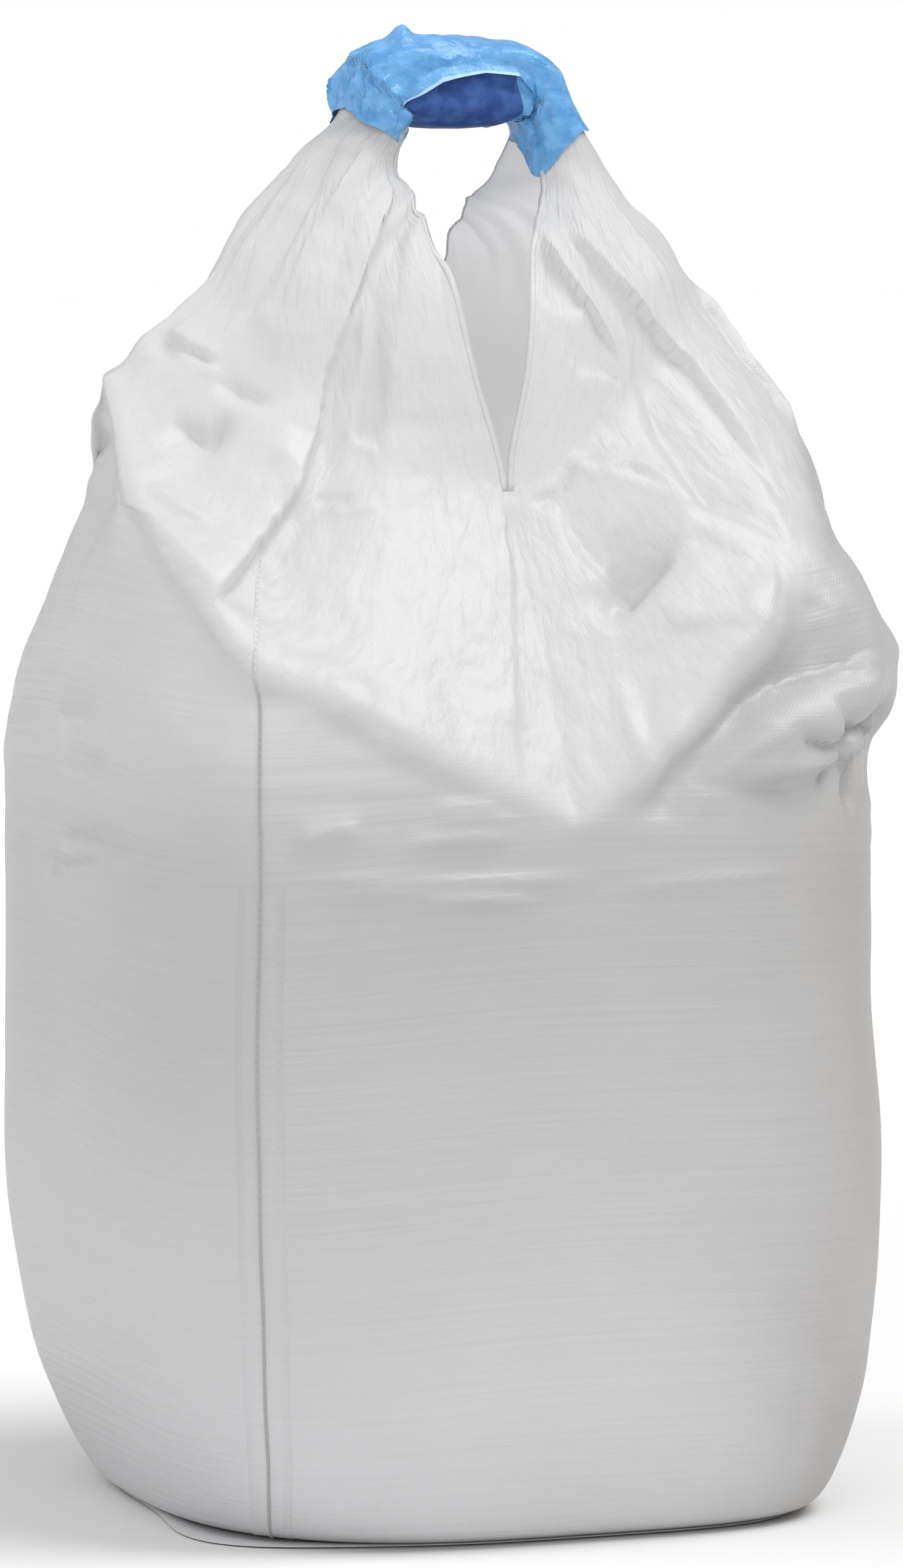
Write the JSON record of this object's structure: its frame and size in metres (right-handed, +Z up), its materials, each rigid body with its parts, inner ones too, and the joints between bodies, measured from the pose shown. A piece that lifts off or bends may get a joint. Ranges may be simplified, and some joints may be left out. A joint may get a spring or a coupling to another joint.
{
  "type": "single-loop bulk bag of crushed gravel",
  "caption": "Filled woven bulk bag that stands on its base, its walls gathered into one sleeved lifting loop.",
  "frame": {"origin": "on the floor, under the middle of the box round the bag", "axes": "+Z up; the lifting loop runs along X; -Y is the front, which has one of the two slits"},
  "size_m": [1.006, 0.981, 1.8034],
  "materials": {
    "woven_fabric": "off-white woven polypropylene tape fabric, slightly glossy, with fine wrinkles",
    "base_fabric": "off-white woven polypropylene tape fabric",
    "gravel": "crushed grey stone",
    "sleeve_fabric": "bright blue coated fabric wrap, creased"
  },
  "bodies": {
    "root": {"bag_fabric": "woven_fabric", "base_panel": "base_fabric", "gravel_fill": "gravel", "loop_sleeve": "sleeve_fabric"}
  },
  "joints": []
}
